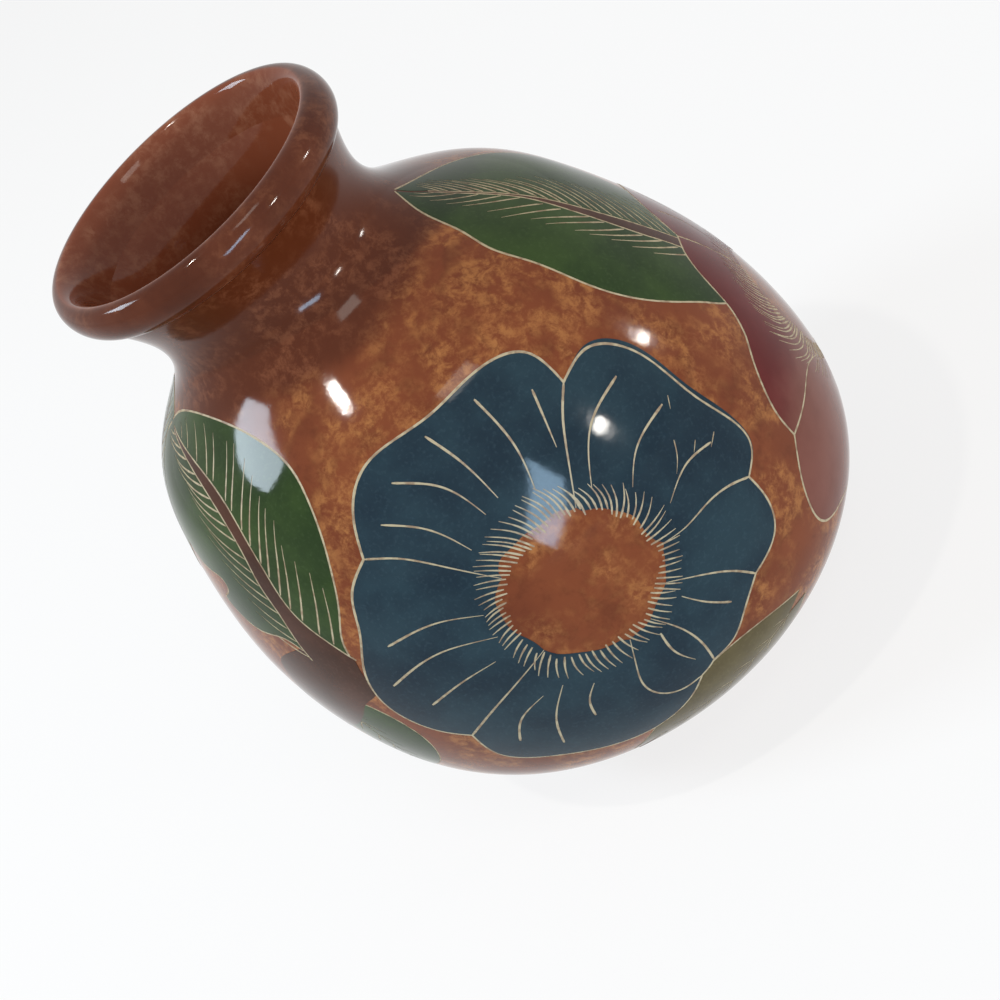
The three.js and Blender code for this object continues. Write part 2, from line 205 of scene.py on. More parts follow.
class Paint:
    """A node material on the Principled shader, with the object's own coordinates."""

    def __init__(self, name, ior):
        self.material = bpy.data.materials.new(name)
        self.material.use_nodes = True
        self.tree = self.material.node_tree
        self.shader = self.tree.nodes["Principled BSDF"]
        self.shader.inputs["IOR"].default_value = ior
        self.place = self.node("ShaderNodeTexCoord").outputs["Object"]

    def node(self, kind, **settings):
        node = self.tree.nodes.new(kind)
        for key, value in settings.items():
            setattr(node, key, value)
        return node

    def feed(self, value, socket):
        """Another node's output or a constant goes into the socket."""
        if isinstance(value, bpy.types.NodeSocket):
            self.tree.links.new(value, socket)
        else:
            socket.default_value = value

    def noise(self, scale, detail, roughness=0.55, distortion=0.0):
        texture = self.node("ShaderNodeTexNoise")
        texture.inputs["Scale"].default_value = scale
        texture.inputs["Detail"].default_value = detail
        texture.inputs["Roughness"].default_value = roughness
        texture.inputs["Distortion"].default_value = distortion
        self.feed(self.place, texture.inputs["Vector"])
        return texture.outputs["Fac"]

    def between(self, value, low, high):
        node = self.node("ShaderNodeMapRange", interpolation_type="SMOOTHSTEP")
        self.feed(value, node.inputs["Value"])
        node.inputs["From Min"].default_value = low
        node.inputs["From Max"].default_value = high
        return node.outputs["Result"]

    def mix(self, share, first, second):
        """The first colour where the share is 0 and the second where it is 1."""
        node = self.node("ShaderNodeMix", data_type="RGBA")
        for value, number in zip((share, first, second), COLOR_MIX_INPUTS):
            self.feed(value, node.inputs[number])
        return node.outputs[COLOR_MIX_RESULT]

    def maths(self, operation, first, second):
        node = self.node("ShaderNodeMath", operation=operation)
        self.feed(first, node.inputs[0])
        self.feed(second, node.inputs[1])
        return node.outputs[0]

    def height(self):
        node = self.node("ShaderNodeSeparateXYZ")
        self.feed(self.place, node.inputs[0])
        return node.outputs["Z"]

    def facing_axis(self):
        """1 on surfaces that face the vase's own axis, such as the throat, and 0 on the outside."""
        axis = self.node("ShaderNodeVectorMath", operation="SCALE")
        axis.inputs[0].default_value = (
            LEAN_PER_HEIGHT * math.cos(LEAN_AZIMUTH),
            LEAN_PER_HEIGHT * math.sin(LEAN_AZIMUTH),
            1,
        )
        self.feed(self.height(), axis.inputs["Scale"])
        away = self.node("ShaderNodeVectorMath", operation="SUBTRACT")
        self.feed(self.place, away.inputs[0])
        self.feed(axis.outputs[0], away.inputs[1])
        outward = self.node("ShaderNodeVectorMath", operation="DOT_PRODUCT")
        self.feed(away.outputs[0], outward.inputs[0])
        self.feed(self.node("ShaderNodeNewGeometry").outputs["Normal"], outward.inputs[1])
        return self.between(outward.outputs["Value"], low=THROAT_BLEND, high=-THROAT_BLEND)

    def color(self, output):
        self.feed(output, self.shader.inputs["Base Color"])

    def bump(self, value, distance_mm):
        node = self.node("ShaderNodeBump")
        node.inputs["Distance"].default_value = distance_mm * MM
        self.feed(value, node.inputs["Height"])
        self.feed(node.outputs["Normal"], self.shader.inputs["Normal"])

    def roughness(self, value):
        self.shader.inputs["Roughness"].default_value = value

    def vary_roughness(self, value, low, high):
        node = self.node("ShaderNodeMapRange")
        self.feed(value, node.inputs["Value"])
        node.inputs["To Min"].default_value = low
        node.inputs["To Max"].default_value = high
        self.feed(node.outputs["Result"], self.shader.inputs["Roughness"])


def mottle(paint, color, share, low, high, tint):
    """Soft wisps of another tint, thick in some places and thin in others."""
    wisps = paint.between(paint.noise(scale=260, detail=8, roughness=0.72, distortion=0.25), low, high)
    patches = paint.between(paint.noise(scale=52, detail=3), low=0.38, high=0.6)
    amount = paint.maths("MULTIPLY", paint.maths("MULTIPLY", wisps, patches), share)
    return paint.mix(amount, color, tint)


def throat_color_and_painted_light(paint):
    """Lighter mottled brown inside the throat: the glaze's brown lightened, as painted light in the shaded
    hollow.
    """
    return mottle(paint, linear(122, 64, 42), share=0.5, low=0.4, high=0.68, tint=linear(160, 110, 84))


def ground_glaze():
    """Mottled orange-rust glaze that turns brown above a ragged level edge round the neck's root; the brown
    is partly the neck's darker glaze and partly painted shadow of the lip.
    """
    paint = Paint("mottled_rust_glaze", GLAZE_IOR)
    cloud = paint.between(paint.noise(scale=24, detail=3), low=0.36, high=0.66)
    color = paint.mix(cloud, linear(122, 62, 34), linear(108, 52, 28))
    stains = paint.noise(scale=130, detail=7, roughness=0.7, distortion=0.2)
    dark = paint.between(stains, low=0.46, high=0.68)
    color = paint.mix(paint.maths("MULTIPLY", dark, 0.5), color, linear(84, 38, 18))
    color = mottle(paint, color, share=0.8, low=0.4, high=0.66, tint=linear(172, 112, 62))
    # Painted shadow: above this ragged level the glaze turns brown, partly its own colour and partly the
    # lip's shadow on the shoulder.
    ragged = paint.maths("MULTIPLY", paint.noise(scale=60, detail=3), 0.008)
    level = paint.maths("ADD", paint.height(), ragged)
    brown = mottle(paint, linear(84, 38, 18), share=0.65, low=0.43, high=0.66, tint=linear(124, 72, 46))
    color = paint.mix(paint.between(level, low=0.18, high=0.187), color, brown)
    # Inside the throat the colour is lighter, painted light in the hollow.
    paint.color(paint.mix(paint.facing_axis(), color, throat_color_and_painted_light(paint)))
    paint.vary_roughness(cloud, low=0.06, high=0.11)
    paint.bump(paint.noise(scale=300, detail=4, roughness=0.6), distance_mm=0.025)
    return paint.material


def neck_glaze():
    """Darker brown glaze of the neck and the lip, clouded and glossy. The darkness is partly the glaze's own
    colour and partly painted shade under the lip.
    """
    paint = Paint("brown_neck_glaze_and_shade", GLAZE_IOR)
    cloud = paint.between(paint.noise(scale=30, detail=4, roughness=0.6), low=0.36, high=0.66)
    color = paint.mix(cloud, linear(74, 32, 15), linear(90, 43, 24))
    color = mottle(paint, color, share=0.42, low=0.4, high=0.68, tint=linear(134, 82, 55))
    paint.color(paint.mix(paint.facing_axis(), color, throat_color_and_painted_light(paint)))
    paint.vary_roughness(cloud, low=0.06, high=0.1)
    paint.bump(paint.noise(scale=260, detail=4, roughness=0.6), distance_mm=0.02)
    return paint.material


def slip_cloud(paint):
    """Where the slip is thicker or thinner, with the gloss of its clear glaze."""
    cloud = paint.between(paint.noise(scale=40, detail=4, roughness=0.6), low=0.34, high=0.68)
    paint.vary_roughness(cloud, low=0.06, high=0.1)
    paint.bump(paint.noise(scale=420, detail=3), distance_mm=0.015)
    return cloud


def slip(name, deep, worn):
    """Coloured slip under clear glaze, a little thinner where the brush ran out."""
    paint = Paint(name, GLAZE_IOR)
    cloud = slip_cloud(paint)
    color = paint.mix(cloud, linear(*deep), linear(*worn))
    specks = paint.between(paint.noise(scale=900, detail=2), low=0.5, high=0.75)
    speck_color = linear(*[c + 26 for c in worn])
    paint.color(paint.mix(paint.maths("MULTIPLY", specks, 0.18), color, speck_color))
    return paint.material


def shaded_slip(name, deep, pale, low, high):
    """Slip that turns from one colour to a paler one down the wall: partly a brushed two-tone, partly a
    painted reflection of bright light on the lower wall.
    """
    paint = Paint(name, GLAZE_IOR)
    ragged = paint.maths("MULTIPLY", paint.noise(scale=70, detail=4, roughness=0.6), 0.016)
    level = paint.maths("SUBTRACT", paint.height(), ragged)
    cloud = slip_cloud(paint)
    top, bottom = (paint.mix(cloud, linear(*c), linear(*[part + 12 for part in c])) for c in (deep, pale))
    paint.color(paint.mix(paint.between(level, low, high), bottom, top))
    return paint.material


def cut_clay():
    """Pale clay at the bottom of the cut lines, with some glaze pooled in it."""
    paint = Paint("cut_line_clay", CLAY_IOR)
    pooled = paint.between(paint.noise(scale=330, detail=3), low=0.42, high=0.66)
    paint.color(paint.mix(pooled, linear(178, 162, 130), linear(140, 116, 90)))
    paint.roughness(0.5)
    paint.bump(paint.noise(scale=900, detail=3), distance_mm=0.03)
    return paint.material


def raw_clay():
    """Bare fired terracotta of the foot, clouded and gritty."""
    paint = Paint("raw_terracotta", CLAY_IOR)
    cloud = paint.between(paint.noise(scale=60, detail=4), low=0.35, high=0.65)
    color = paint.mix(cloud, linear(168, 98, 62), linear(186, 118, 80))
    grit = paint.between(paint.noise(scale=1300, detail=2), low=0.6, high=0.72)
    paint.color(paint.mix(grit, color, linear(132, 72, 46)))
    paint.roughness(0.82)
    paint.bump(paint.noise(scale=900, detail=4), distance_mm=0.08)
    return paint.material


GROUND = ground_glaze()
NECK = neck_glaze()
CLAY = raw_clay()
CUT = cut_clay()
BLUE = slip("blue_slip_glazed", (22, 40, 51), (35, 56, 65))
# The red's paler lower part is partly brushed pink and partly a painted reflection.
RED = shaded_slip("red_slip_and_painted_sheen", (88, 16, 14), (108, 58, 46), low=0.064, high=0.084)
GREEN = slip("green_slip_glazed", (34, 52, 20), (50, 69, 29))
OLIVE = slip("olive_slip_glazed", (79, 67, 38), (94, 82, 50))
BROWN = slip("brown_slip_glazed", (58, 30, 16), (76, 42, 27))


# Mesh helpers


def add_object(name, data):
    added = bpy.data.objects.new(name, data)
    bpy.context.scene.collection.objects.link(added)
    return added


def make_piece(name, points_mm, faces, corner_normals, material):
    """A smooth mesh with its own normals, which rides on the one body."""
    mesh = bpy.data.meshes.new(name)
    mesh.from_pydata((np.asarray(points_mm) * MM).tolist(), [], faces)
    mesh.update()
    mesh.polygons.foreach_set("use_smooth", [True] * len(mesh.polygons))
    mesh.normals_split_custom_set(np.asarray(corner_normals).reshape(-1, 3).tolist())
    mesh.materials.append(material)
    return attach(add_object(name, mesh), "root")


AROUND = 360
AZIMUTHS = np.arange(AROUND) * 2 * math.pi / AROUND


def ring_faces(row, following):
    """The faces between two rows, given by the rows' numbers."""
    low, high = row * AROUND, following * AROUND
    pairs = [(j, (j + 1) % AROUND) for j in range(AROUND)]
    return [[low + j, low + k, high + k, high + j] for j, k in pairs]


def turned_piece(name, blocks, material, node):
    """A closed ring of clay from blocks of rows, each block smooth and its ends flat to the next."""
    points = np.concatenate([rows for rows, _ in blocks]).reshape(-1, 3)
    smooth = np.concatenate([directions for _, directions in blocks]).reshape(-1, 3)
    faces, ends, first = [], [], 0
    for rows, _ in blocks:
        last = first + len(rows) - 1
        for row in range(first, last):
            faces += ring_faces(row, row + 1)
        ends.append((first, last))
        first = last + 1
    normals = [smooth[face] for face in faces]
    for n, (_, last) in enumerate(ends):
        for face in ring_faces(last, ends[(n + 1) % len(ends)][0]):
            a, b, c, _ = points[face]
            normal = np.cross(b - a, c - a)
            length = np.linalg.norm(normal)
            faces.append(face)
            normals.append([normal / length if length > TINY else (0, 0, 1)] * 4)
    piece = make_piece(name, points, faces, normals, material)
    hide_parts(node)


def rows_between(low, high, step):
    """Evenly spaced heights, both ends among them."""
    return np.linspace(low, high, max(2, round(abs(high - low) / step) + 1))


def outside_rows(low, high):
    """Rows and normals of the outside of the wall, going up."""
    heights = rows_between(low, high, OUTSIDE_ROW_STEP)
    azimuth, height = np.meshgrid(AZIMUTHS, heights)
    return on_wall(azimuth, height), wall_normal(azimuth, height)


def spun(outward, upward):
    """A profile's outward and upward parts, turned round the axis."""
    outward, upward = outward[:, None], np.broadcast_to(upward[:, None], (len(upward), AROUND))
    return np.stack([outward * np.cos(AZIMUTHS), outward * np.sin(AZIMUTHS), upward], -1)


def rows_of_profile(radius, level):
    """Rows and normals of a profile, listed so that the clay is on the left of its run."""
    radius, level = np.asarray(radius, float), np.asarray(level, float)
    normals = spun(np.gradient(level), -np.gradient(radius)) @ np.linalg.inv(STANCE)
    normals /= np.linalg.norm(normals, axis=-1, keepdims=True)
    return spun(radius, level) @ STANCE.T, normals


def inside_rows(high, low):
    """Rows and normals of the inside of the wall, going down."""
    heights = rows_between(high, low, INSIDE_ROW_STEP)
    return rows_of_profile(inner_radius(heights), heights)


def course(name, low, high, node):
    """One ring of the wall between two level joints."""
    turned_piece(name, [outside_rows(low, high), inside_rows(high, low)], GROUND, node)


def bezier(points, count):
    """Places on a curve from the first point to the last, drawn towards the two between."""
    t = np.linspace(0, 1, count)[:, None]
    a, b, c, d = (np.array(p, float) for p in points)
    return (1 - t) ** 3 * a + 3 * (1 - t) ** 2 * t * b + 3 * (1 - t) * t * t * c + t**3 * d


def lip():
    """The rolled lip, as two curves that meet on its crest. The factors set how full they are."""
    outer, inner = outer_radius(LIP_JOINT), inner_radius(LIP_JOINT)
    crest = outer + LIP_REACH - LIP_CREST_INSET
    roll = bezier([(outer, LIP_JOINT), (outer + LIP_REACH * 1.5, LIP_JOINT + LIP_HEIGHT * 0.2),
                   (outer + LIP_REACH * 1.2, MOUTH_HEIGHT), (crest, MOUTH_HEIGHT)], count=40)
    throat = bezier([(crest, MOUTH_HEIGHT), (crest - LIP_CREST_INSET * 0.6, MOUTH_HEIGHT),
                     (inner + LIP_CREST_INSET * 0.5, LIP_JOINT + LIP_HEIGHT * 0.5), (inner, LIP_JOINT)],
                    count=32)
    radius, level = np.concatenate([roll, throat[1:]]).T
    turned_piece("rolled_lip", [rows_of_profile(radius, level)], NECK, "rim_lip")


FOOT_ROWS = 8
FOOT_EDGE_ROUND = 0.6
FOOT_EDGE_HEIGHT = 1.5
POLE_RADIUS = 0.01


def foot():
    """The foot disc, with a slightly rounded lower edge."""
    heights = np.linspace(0, FOOT_THICKNESS, FOOT_ROWS)
    edge_round = FOOT_EDGE_ROUND * (1 - ramp(0, FOOT_EDGE_HEIGHT, heights))
    edge = rows_of_profile(outer_radius(heights) - edge_round, heights)
    top_edge, lower_edge = outer_radius(FOOT_THICKNESS), outer_radius(0) - FOOT_EDGE_ROUND
    top = rows_of_profile([top_edge, POLE_RADIUS], [FOOT_THICKNESS, FOOT_THICKNESS])
    below = rows_of_profile([POLE_RADIUS, lower_edge], [0, 0])
    turned_piece("foot_clay", [edge, top, below], CLAY, "foot_disc")


foot()
course("heel_clay", FOOT_THICKNESS, HEEL_JOINT, "heel_wall")
course("lower_belly_clay", HEEL_JOINT, BELLY_JOINT, "lower_wall")
course("upper_belly_clay", BELLY_JOINT, SHOULDER_JOINT, "upper_wall")
course("shoulder_clay", SHOULDER_JOINT, COLLAR_JOINT, "shoulder_wall")
course("neck_clay", COLLAR_JOINT, LIP_JOINT, "neck_collar")
lip()


# Slip fields and cut lines. Each motif is drawn flat, in millimetres across and up from its middle


def polar(points):
    """Places given by a bearing in degrees and a distance, as across and up."""
    bearing = np.radians([p[0] for p in points])
    distance = np.array([p[1] for p in points], float)
    return np.stack([distance * np.cos(bearing), distance * np.sin(bearing)], -1)


LINE_STEP = 1.2
HAIR_STEP = 1.5
HATCH_STEP = 2


def smooth_line(points, step=LINE_STEP):
    """A curve through the points, sampled evenly."""
    points = np.asarray(points, float)
    run = np.concatenate([[0], np.cumsum(np.linalg.norm(np.diff(points, axis=0), axis=1))])
    t = np.linspace(0, run[-1], max(3, int(run[-1] / step) + 1))
    if len(points) == 2:
        return np.stack([np.interp(t, run, points[:, 0]), np.interp(t, run, points[:, 1])], -1)
    return np.stack([natural_curve(run, points[:, 0])(t), natural_curve(run, points[:, 1])(t)], -1)


# Share of the width at which a stroke starts, what it loses on the way, and how late it loses it
STROKE_START = 1.1
STROKE_LOSS = 0.75
STROKE_LATENESS = 1.6
STROKE_WOBBLE = 0.1
BLUNT_END = 0.6


def stroke(line, width, rng, tapered=True):
    """The outline of one cut: blunt where the tool went in, thin where it came out, a little uneven."""
    line = np.asarray(line, float)
    along = np.gradient(line, axis=0)
    aside = np.stack([-along[:, 1], along[:, 0]], -1)
    aside /= np.linalg.norm(aside, axis=1, keepdims=True)
    t = np.linspace(0, 1, len(line))
    thin = STROKE_START - STROKE_LOSS * t**STROKE_LATENESS if tapered else np.ones(len(t))
    half = width / 2 * thin * [1 + rng.uniform(-STROKE_WOBBLE, STROKE_WOBBLE) for _ in t]
    half[0] *= BLUNT_END if tapered else 1
    return np.concatenate([line + aside * half[:, None], (line - aside * half[:, None])[::-1]])


def inside_outline(outline, points):
    """Which points an outline winds round."""
    x, y = points[:, 0], points[:, 1]
    turns = np.zeros(len(points), int)
    for (ax, ay), (bx, by) in zip(outline, np.roll(outline, -1, axis=0)):
        side = (bx - ax) * (y - ay) - (x - ax) * (by - ay)
        turns += (ay <= y) & (by > y) & (side > 0)
        turns -= (ay > y) & (by <= y) & (side < 0)
    return turns != 0


def closed_skin(name, middle, places, triangles, proud, material):
    """A thin closed sheet over the triangles, from inside the wall to a little proud of it."""
    used, numbered = np.unique(triangles, return_inverse=True)
    triangles = numbered.reshape(-1, 3).tolist()
    azimuth, height = spread_on_wall(middle, places[used])
    top, bottom = on_wall(azimuth, height, proud), on_wall(azimuth, height, -SLIP_SUNK)
    normal = wall_normal(azimuth, height)
    count = len(used)
    edges = {edge for a, b, c in triangles for edge in ((a, b), (b, c), (c, a))}
    rim = sorted(edge for edge in edges if (edge[1], edge[0]) not in edges)
    faces = triangles + [[c + count for c in reversed(t)] for t in triangles]
    normals = [normal[c] for t in triangles for c in t]
    normals += [-normal[c] for t in triangles for c in reversed(t)]
    points = np.concatenate([top, bottom])
    for a, b in rim:
        faces.append([b, a, a + count, b + count])
        flat = np.cross(points[a] - points[b], points[a + count] - points[b])
        normals += [flat / max(np.linalg.norm(flat), TINY)] * 4
    return make_piece(name, points, faces, normals, material)


def staggered_places(outlines):
    """Evenly spread places inside the outlines, in staggered rows."""
    everything = np.concatenate(outlines)
    low, high = everything.min(0), everything.max(0)
    rows = []
    for i, row in enumerate(np.arange(low[1], high[1], SURFACE_STEP)):
        across = np.arange(low[0] + i % 2 * SURFACE_STEP / 2, high[0], SURFACE_STEP)
        rows.append(np.stack([across, np.full(len(across), row)], -1))
    grid = np.concatenate(rows)
    return grid[owner_of_places(grid, outlines) >= 0]


def owner_of_places(places, outlines):
    """The number of the last outline that holds each place, or -1."""
    owner = np.full(len(places), -1)
    for i, outline in enumerate(outlines):
        near = np.flatnonzero(np.all((places >= outline.min(0)) & (places <= outline.max(0)), axis=1))
        owner[near[inside_outline(outline, places[near])]] = i
    return owner


# Outlines of the motifs laid so far, as azimuths and heights
COVERED = []
# In millimetres. An outline that seems wider lies across the seam at the back of this motif
WIDEST_MOTIF = 150
REACH_MARGIN = 2
CONVEX_HULL = 0
DRAWING_TOLERANCE = 1e-4
SMALLEST_AREA = 1e-7


def covered_near(middle, reach):
    """Outlines of earlier motifs that come near this one, in its own millimetres."""
    near = []
    for azimuth, height in COVERED:
        turn = (azimuth - math.radians(middle[0]) + math.pi) % (2 * math.pi) - math.pi
        up = np.interp(height, CLIMB_HEIGHTS, CLIMBS) - np.interp(middle[1], CLIMB_HEIGHTS, CLIMBS)
        outline = np.stack([turn * outer_radius(height), up], -1)
        meets = np.all(outline.min(0) < reach) and np.all(outline.max(0) > -reach)
        if meets and np.ptp(outline[:, 0]) < WIDEST_MOTIF:
            near.append(outline)
    return near


def cut_up(outlines, cuts, above):
    """The drawing in triangles that no outline crosses, as places and the numbers of corners."""
    points, edges = [], []
    for outline in outlines + cuts + above:
        first = len(points)
        points += outline.tolist()
        edges += [(first + i, first + (i + 1) % len(outline)) for i in range(len(outline))]
    points = [Vector(point) for point in points + staggered_places(outlines).tolist()]
    flat, _, triangles, *_ = delaunay_2d_cdt(points, edges, [], CONVEX_HULL, DRAWING_TOLERANCE)
    return np.array([tuple(point) for point in flat]), np.array([list(triangle) for triangle in triangles])


def motif(name, middle, fields, contours, strokes):
    """Cuts contours and strokes through the slip fields, and lays pale clay in the cuts.

    Where an earlier motif covers this one, this one stops at its edge.
    """
    outlines = [part["outline"] for part in fields]
    cuts = contours + strokes
    reach = np.abs(np.concatenate(outlines + cuts)).max() + REACH_MARGIN
    above = covered_near(middle, reach)
    places, corners = cut_up(outlines, cuts, above)
    a, b, c = (places[corners[:, i]] for i in range(3))
    area = (b[:, 0] - a[:, 0]) * (c[:, 1] - a[:, 1]) - (b[:, 1] - a[:, 1]) * (c[:, 0] - a[:, 0])
    corners[area < 0] = corners[area < 0][:, ::-1]
    centres = (a + b + c) / 3
    free = (np.abs(area) > SMALLEST_AREA) & (owner_of_places(centres, above) < 0)
    owner = owner_of_places(centres, outlines)
    in_cut = owner_of_places(centres, cuts) >= 0
    for i, part in enumerate(fields):
        chosen = corners[(owner == i) & ~in_cut & free]
        piece = closed_skin(part["name"], middle, places, chosen, SLIP_PROUD, part["material"])
        if part["node"]:
            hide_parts(part["node"])
    piece = closed_skin(f"{name}_cut_lines", middle, places, corners[in_cut & free], GROOVE_FLOOR, CUT)
    COVERED.extend(spread_on_wall(middle, outline) for outline in outlines + contours)


def in_short_steps(outline):
    """The closed outline with its long straight stretches cut up, so that they bend with the wall."""
    steps = []
    for start, end in zip(outline, np.roll(outline, -1, axis=0)):
        count = max(1, math.ceil(np.linalg.norm(end - start) / SURFACE_STEP))
        steps += [start + (end - start) * i / count for i in range(count)]
    return np.array(steps)


def field(name, outline, material, slot_name, node=None):
    """One field of slip, and the node of the row that it replaces."""
    outline = in_short_steps(outline)
    return {"name": name, "outline": outline, "material": material, "slot": slot_name, "node": node}


EYE_RADIUS = 22.3
EYE_SHIFT = 2.8
EYE_SHIFT_BEARING = 245
# Each wave of the eye's edge has its size in millimetres, its waves round and its phase
EYE_WAVES = [(0.5, 7, 0), (0.35, 12, 1)]


def eye_distance(bearing):
    """The round of bare ground in the middle of a flower, a little off its centre."""
    turn = np.radians(bearing)
    distance = EYE_RADIUS + EYE_SHIFT * np.cos(turn - math.radians(EYE_SHIFT_BEARING))
    for size, waves, phase in EYE_WAVES:
        distance += size * np.sin(waves * turn + phase)
    return distance


FRINGE_SPACING = 4.2
SPACING_JITTER = 0.15
LEAN_JITTER = 1.8
START_JITTER = 0.9
END_JITTER = 0.8
EARLY_LEAN = 0.4


def fringe(combed, rng):
    """Hair-thin strokes across the edge of a flower's eye.

    Each station of their combing has a bearing, and there the lean in degrees and the distances
    at which the strokes start and end.
    """
    stations = np.array(combed, float).T
    strokes, bearing = [], 0.0
    while bearing < 360 - FRINGE_SPACING / 2:
        lean, start, end = (np.interp(bearing, stations[0], row) for row in stations[1:])
        lean += rng.uniform(-LEAN_JITTER, LEAN_JITTER)
        start += rng.uniform(-START_JITTER, START_JITTER)
        end += rng.uniform(-END_JITTER, END_JITTER)
        halfway = (bearing + lean * EARLY_LEAN, (start + end) / 2)
        line = polar([(bearing, start), halfway, (bearing + lean, end)])
        strokes.append(stroke(smooth_line(line, HAIR_STEP), HAIR_WIDTH, rng))
        bearing += FRINGE_SPACING * rng.uniform(1 - SPACING_JITTER, 1 + SPACING_JITTER)
    return strokes


EYE_EDGE_STEP = 4
SCRATCH_WIDTH = HAIR_WIDTH * 0.7


def rim_line(points, start, end):
    """A smooth line through the points, from the end of one division line to the end of the next."""
    line = smooth_line(polar(points))
    line[0], line[-1] = start[-1], end[-1]
    return line


def flower(name, middle, rims, divisions, veins, scratches, combed, material, slot_name, seed):
    """Petals between division lines, with cut rims and veins and a fringe round the eye."""
    rng = random.Random(seed)
    fields, contours, strokes = [], [], []
    lines = [smooth_line(polar(division)) for division in divisions]
    for i, rim in enumerate(rims):
        start, end = lines[i], lines[(i + 1) % len(lines)]
        first = math.degrees(math.atan2(start[0][1], start[0][0]))
        last = math.degrees(math.atan2(end[0][1], end[0][0]))
        if last <= first:
            last += 360
        contour = rim_line(rim["contour"], start, end)
        edge = rim_line(rim.get("slip_edge", rim["contour"]), start, end)
        round_eye = np.linspace(last, first, max(4, int((last - first) / EYE_EDGE_STEP)))
        inner = polar([(bearing, eye_distance(bearing)) for bearing in round_eye])
        outline = np.concatenate([start, edge[1:-1], end[::-1], inner[1:-1]])
        node = f"{name}_petal_{i + 1}"
        fields.append(field(f"{name}_petal_slip_{i + 1}", outline, material, slot_name, node))
        contours.append(stroke(contour, LINE_WIDTH, rng, tapered=False))
    for i, line in enumerate(lines):
        if not rims[i].get("joined"):
            strokes.append(stroke(line[::-1], LINE_WIDTH, rng))
    strokes += [stroke(smooth_line(polar(vein)), LINE_WIDTH, rng) for vein in veins]
    strokes += [stroke(smooth_line(polar(scratch)), SCRATCH_WIDTH, rng) for scratch in scratches]
    strokes += fringe(combed, rng)
    motif(name, middle, fields, contours, strokes)


# Places on the flowers are a bearing in degrees and a distance in millimetres. A petal without a
# slip edge of its own ends at its contour, and a joined petal has no line cut before it

FRONT_RIMS = [
    {"contour": [(-22, 56), (-16, 62), (5, 59.5), (26, 63), (40, 61), (48, 53)],
     "slip_edge": [(-22, 56), (-16, 62.5), (-4, 62.5), (10, 61), (26, 64.5), (40, 62), (48, 53)]},
    {"contour": [(48, 53), (56, 62), (70, 63), (86, 60.5), (104, 63), (120, 59), (134, 54)]},
    {"contour": [(134, 54), (148, 58), (162, 61), (176, 70), (190, 77), (200, 74), (206, 69)]},
    {"contour": [(206, 69), (215, 76), (228, 72), (242, 69.5), (251, 68), (258, 65), (265, 60),
                 (270, 55.5)]},
    {"contour": [(270, 55.5), (273, 55), (276, 54)]},
    {"contour": [(276, 54), (284, 55), (294, 53), (307, 53)]},
    {"contour": [(307, 53), (320, 60), (330, 59), (338, 56)]},
]
FRONT_DIVISIONS = [
    [(-26, 24), (-24, 31), (-20, 40), (-20, 49), (-22, 56)],
    [(50, 20), (51, 35), (50, 46), (48, 53)],
    [(136, 20), (131, 36), (131, 46), (134, 54)],
    [(207, 25), (205, 41), (205, 55), (206, 69)],
    [(260, 26), (255, 36), (254, 45), (258, 52), (263, 55), (270, 55.5)],
    [(278, 25), (281, 36), (279, 46), (276, 54)],
    [(305, 24), (309, 36), (309, 45), (307, 53)],
]
FRONT_VEINS = [
    [(31, 55), (40, 42), (39, 25)], [(15, 52), (20, 37), (15, 28)], [(-5, 52), (-2, 42), (-8, 31)],
    [(58, 53), (57, 46), (55, 37)], [(74, 57), (70, 41), (71, 28)], [(90, 57), (88, 46), (88, 32)],
    [(106, 55), (99, 45), (98, 31)], [(120, 52), (116, 42), (119, 29)],
    [(168, 56), (161, 38), (163, 27)], [(182, 66), (175, 42), (180, 28)], [(192, 63), (190, 46), (191, 35)],
    [(217, 65), (214, 54), (217, 42)], [(228, 64), (224, 52), (223, 37)], [(236, 51), (234, 44), (236, 37)],
    [(274, 31), (271, 40), (273, 48)], [(297, 47), (296, 39), (297, 30)],
]
FRONT_SCRATCHES = [
    [(7, 45), (3, 42), (-1, 38)], [(0, 49), (-2, 46)], [(-4, 55), (-6, 51)], [(14, 55), (12, 52)],
]
FRONT_COMBED = [
    (0, 9, 19.8, 28), (20, 11, 19.5, 27), (40, 13, 18.5, 25.2), (60, 11, 18.8, 28.5), (80, 8, 17.3, 27),
    (100, 10, 16, 27), (120, 5, 17, 27), (140, 3, 18.6, 27), (160, 6, 20.8, 26.5), (180, 4, 22.8, 29),
    (200, 3, 25.3, 33), (215, 3, 27.2, 34.6), (230, 9, 25.3, 33.3), (245, 6, 24.5, 32), (260, 5.5, 22.7, 31),
    (275, 4, 23.2, 30.5), (290, 3, 21.5, 28.2), (308, 2, 20.5, 28.2), (325, 0, 22, 28.3), (340, 2, 20, 29.5),
    (360, 9, 19.8, 28),
]
flower("front_flower", (264, 106), FRONT_RIMS, FRONT_DIVISIONS, FRONT_VEINS, FRONT_SCRATCHES, FRONT_COMBED,
       BLUE, "blue_slip", seed=3)

